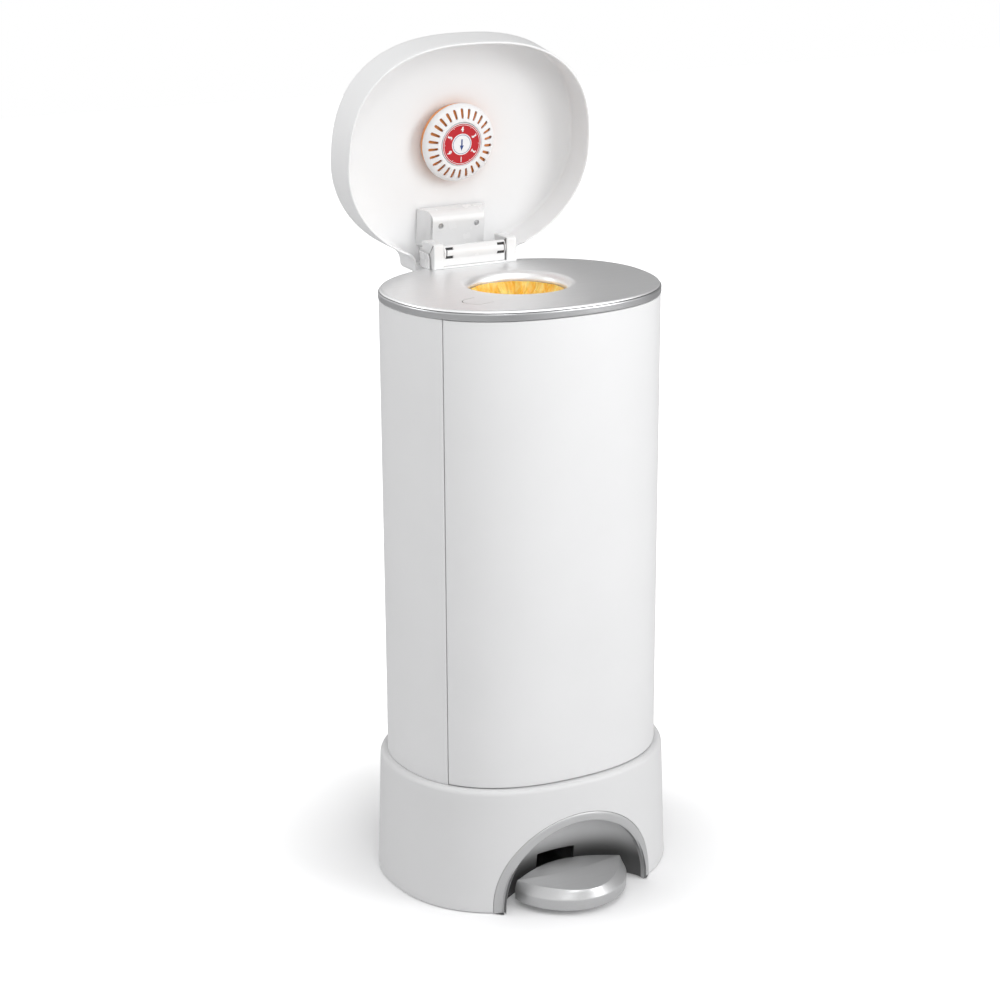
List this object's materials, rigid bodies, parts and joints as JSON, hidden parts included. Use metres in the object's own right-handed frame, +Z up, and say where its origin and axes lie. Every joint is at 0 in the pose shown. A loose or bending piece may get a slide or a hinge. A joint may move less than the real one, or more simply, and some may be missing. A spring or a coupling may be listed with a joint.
{
  "type": "nappy bin",
  "caption": "Pedal-operated oval nappy bin with front door, silver deck with film throat and trap flaps, hinged lid with deodoriser, and push rod from pedal to lid",
  "frame": {"origin": "on the floor under the middle of the oval body, at the bottom face of the centre foot", "axes": "+Z up, the pedal and the door at the front face -Y, the lid's hinge at +Y, +X to the right of someone looking from the front"},
  "size_m": [0.3192, 0.3292, 0.8859],
  "materials": {
    "white_shell": "white satin moulded ABS",
    "base_plastic": "white satin moulded polypropylene",
    "grey_plastic": "plain light grey moulded plastic inside the bin",
    "silver_deck": "silver painted deck with a fine brushed look",
    "silver_pedal": "satin silver paint on the pedal and its recess",
    "steel": "plain bright steel",
    "rubber": "dark grey rubber",
    "film": "thin gathered orange-yellow plastic film",
    "film_block": "pleated film packed in its cartridge",
    "cartridge_white": "white moulded plastic",
    "hinge_white": "white glossy moulded plastic",
    "lid_white": "white semi-gloss moulded plastic",
    "deodoriser_orange": "orange moulded plastic",
    "deodoriser_white": "white moulded plastic",
    "dial_red": "red printed dial",
    "powder": "pressed scented powder"
  },
  "bodies": {
    "root": {"base_shell": "base_plastic", "base_floor": "base_plastic", "base_screws": "steel", "rubber_feet": "rubber", "pedal_recess": "silver_pedal", "pivot_brackets": "grey_plastic", "pivot_shaft": "steel", "pedal_spring": "steel", "rod_guides": "grey_plastic", "rod_channel": "grey_plastic", "body_shell": "white_shell", "bin_floor": "grey_plastic", "deck_frame": "grey_plastic", "deck_rim": "silver_deck", "deck_panel": "silver_deck", "pusher_guide": "grey_plastic", "throat_housing": "grey_plastic", "refill_cartridge": "cartridge_white", "film_pack": "film_block", "liner_film": "film", "flap_frame": "grey_plastic", "flap_pins": "steel", "flap_springs": "steel", "hinge_bracket": "hinge_white", "hinge_cover": "hinge_white", "hinge_guards": "hinge_white", "hinge_pin": "steel", "bracket_screws": "steel", "door_pins": "steel"},
    "pedal": {"pedal_pad": "silver_pedal", "pedal_lever": "steel"},
    "rod": {"push_rod": "steel", "rod_tip": "white_shell", "rod_foot": "grey_plastic"},
    "lid": {"lid_shell": "lid_white", "hinge_block": "lid_white", "block_screws": "steel", "deodoriser_mount": "lid_white"},
    "deodoriser": {"deodoriser_cup": "deodoriser_orange", "deodoriser_pad": "powder", "deodoriser_cover": "deodoriser_white"},
    "dial": {"deodoriser_dial": "dial_red"},
    "left_flap": {"flap_left": "cartridge_white", "flap_lip_left": "rubber"},
    "right_flap": {"flap_right": "cartridge_white", "flap_lip_right": "rubber"},
    "door": {"door_panel": "white_shell", "door_ribs": "grey_plastic", "door_barrel": "white_shell", "door_keeper": "grey_plastic", "film_cutter": "cartridge_white", "cutter_blade": "steel"},
    "button": {"release_button": "silver_deck"},
    "pusher": {"hook_pusher": "grey_plastic"}
  },
  "joints": [
    {"name": "lid_hinge", "type": "hinge", "parent": "root", "child": "lid", "pos_m": [0, 0.116, 0.65], "axis": [1, 0, 0], "range_deg": [0, 83]},
    {"name": "pedal_pivot", "type": "hinge", "parent": "root", "child": "pedal", "pos_m": [0, 0.025, 0.022], "axis": [-1, 0, 0], "range_deg": [0, 9.8], "deforming": ["pedal_spring"]},
    {"name": "rod_slide", "type": "slide", "parent": "root", "child": "rod", "axis": [0, 0, -1], "range_m": [0, 0.0139]},
    {"name": "door_swing", "type": "hinge", "parent": "root", "child": "door", "pos_m": [0.13866, -0.04, 0.39], "axis": [0, 0, 1], "range_deg": [0, 100]},
    {"name": "left_flap_hinge", "type": "hinge", "parent": "root", "child": "left_flap", "pos_m": [-0.053, -0.006, 0.564], "axis": [0, 1, 0], "range_deg": [0, 70], "stiffness_Nm_per_rad": 0.03, "springref_deg": -20.05, "deforming": ["liner_film"]},
    {"name": "right_flap_hinge", "type": "hinge", "parent": "root", "child": "right_flap", "pos_m": [0.053, -0.006, 0.564], "axis": [0, -1, 0], "range_deg": [0, 70], "stiffness_Nm_per_rad": 0.03, "springref_deg": -20.05, "deforming": ["liner_film"]},
    {"name": "deodoriser_pull", "type": "slide", "parent": "lid", "child": "deodoriser", "axis": [0, -0.9925, -0.1219], "range_m": [0, 0.012]},
    {"name": "dial_turn", "type": "hinge", "parent": "deodoriser", "child": "dial", "pos_m": [0, 0.12649, 0.76967], "axis": [0, -0.9925, -0.1219], "continuous": true},
    {"name": "button_push", "type": "slide", "parent": "root", "child": "button", "axis": [0, 0, -1], "range_m": [0, 0.003], "stiffness_N_per_m": 300, "springref_m": -0.001},
    {"name": "pusher_slide", "type": "slide", "parent": "root", "child": "pusher", "axis": [-0.9461, -0.3239, 0], "range_m": [0, 0.006]}
  ],
  "couplings": [
    {"joint": "pedal_pivot", "follows": "lid_hinge", "ratio": 0.11807},
    {"joint": "rod_slide", "follows": "lid_hinge", "m_per_rad": 0.00959},
    {"joint": "pusher_slide", "follows": "button_push", "ratio": 2}
  ]
}
